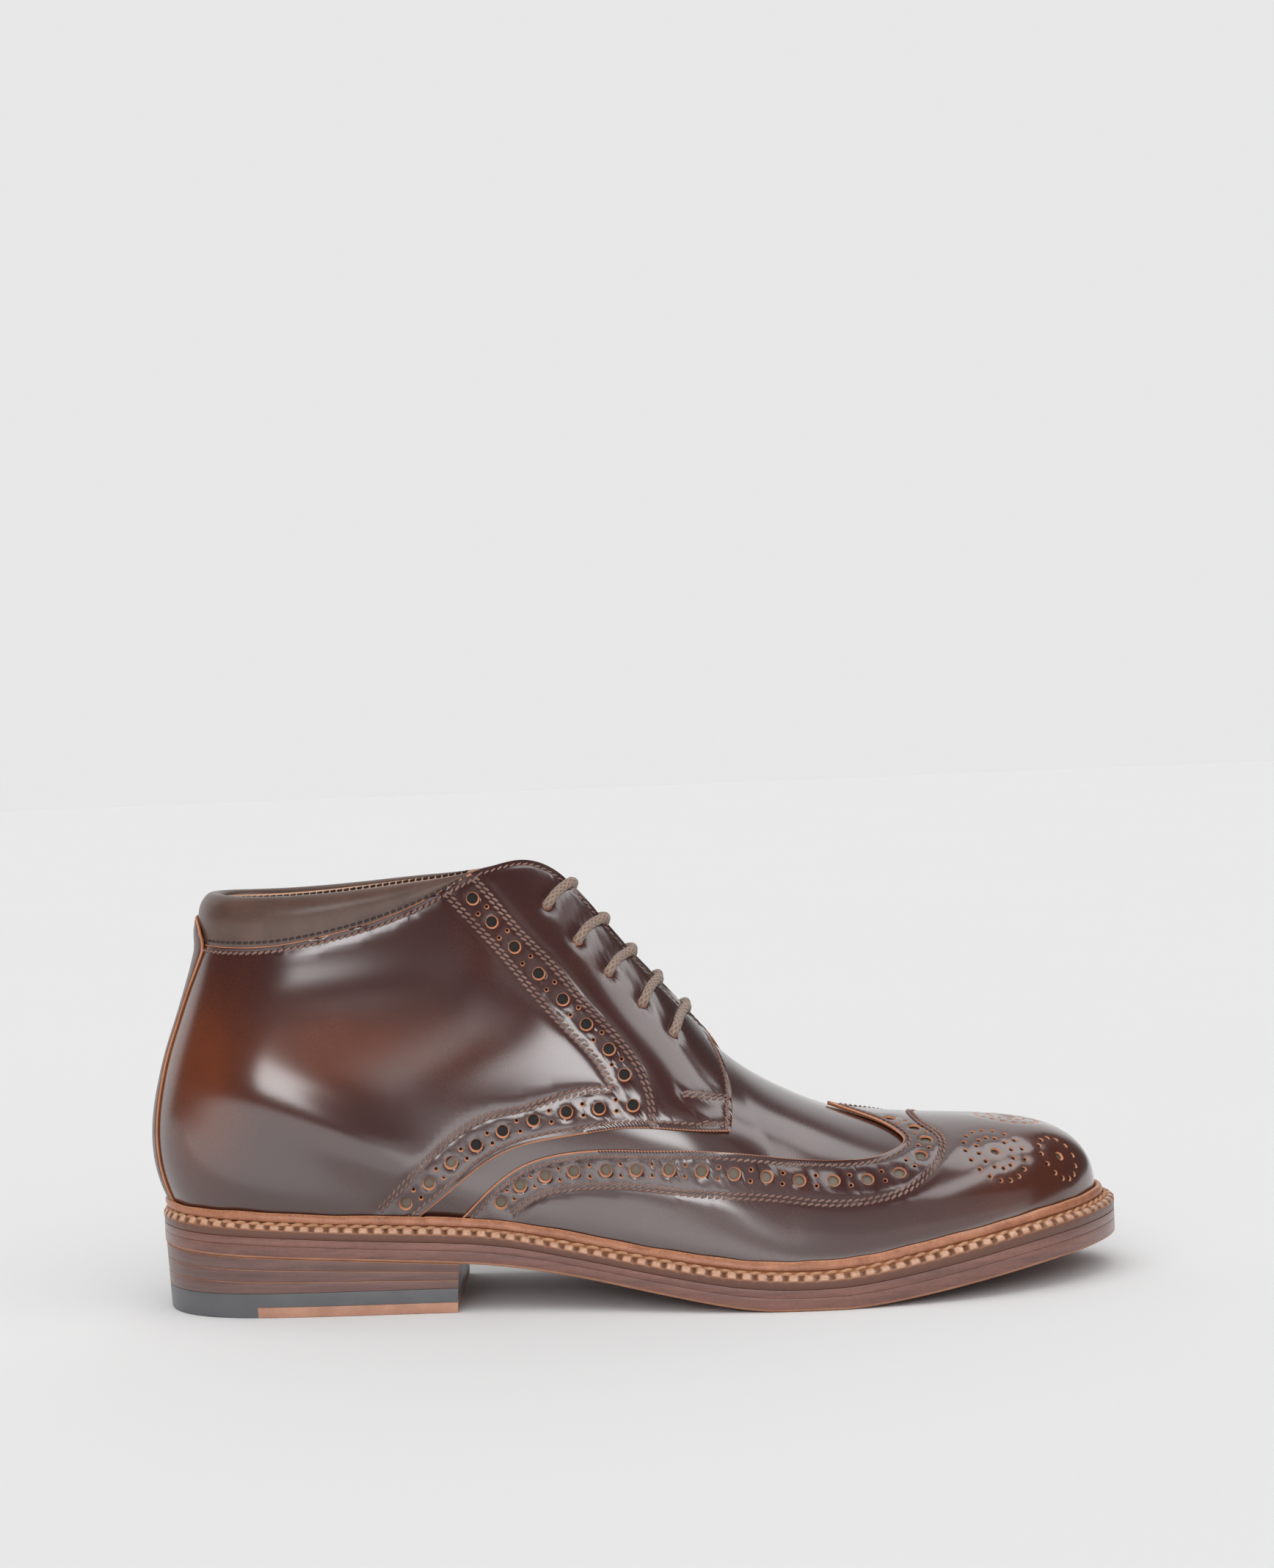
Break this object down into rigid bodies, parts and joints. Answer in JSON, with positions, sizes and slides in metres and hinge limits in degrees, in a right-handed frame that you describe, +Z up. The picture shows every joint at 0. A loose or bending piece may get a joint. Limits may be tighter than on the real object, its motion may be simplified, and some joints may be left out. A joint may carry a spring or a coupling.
{
  "type": "brogue boot",
  "caption": "Right ankle boot of glossy brown leather with wing tip, padded collar, bar lacing, stitched welt and stacked leather heel; stands empty on its sole.",
  "frame": {"origin": "on the floor under the middle of the boot's box", "axes": "+X towards the toe, +Y towards the inner side of the foot, +Z up"},
  "size_m": [0.3084, 0.1066, 0.1392],
  "materials": {
    "upper_leather": "polished dark brown with a warm burnish",
    "collar_leather": "soft, less glossy brown",
    "tongue_leather": "satin brown",
    "cut_edge": "raw orange-tan cut edge",
    "thread": "twisted light brown thread",
    "lining": "pale natural lining",
    "lace_braid": "braided, waxed",
    "insole_leather": "pale, matt",
    "welt_leather": "natural tan, stitched",
    "sole_leather": "dyed and waxed edge",
    "lift_leather": "stacked, waxed edge",
    "insert_leather": "bare leather",
    "heel_rubber": "matt black"
  },
  "bodies": {
    "root": {"upper": "upper_leather", "collar": "collar_leather", "tongue": "tongue_leather", "lace": "lace_braid", "insole": "insole_leather", "welt": "welt_leather", "midsole": "sole_leather", "outsole": "sole_leather", "heel_lift_1": "lift_leather", "heel_lift_2": "lift_leather", "heel_lift_3": "lift_leather", "heel_rubber": "heel_rubber", "heel_insert": "insert_leather"}
  },
  "joints": []
}
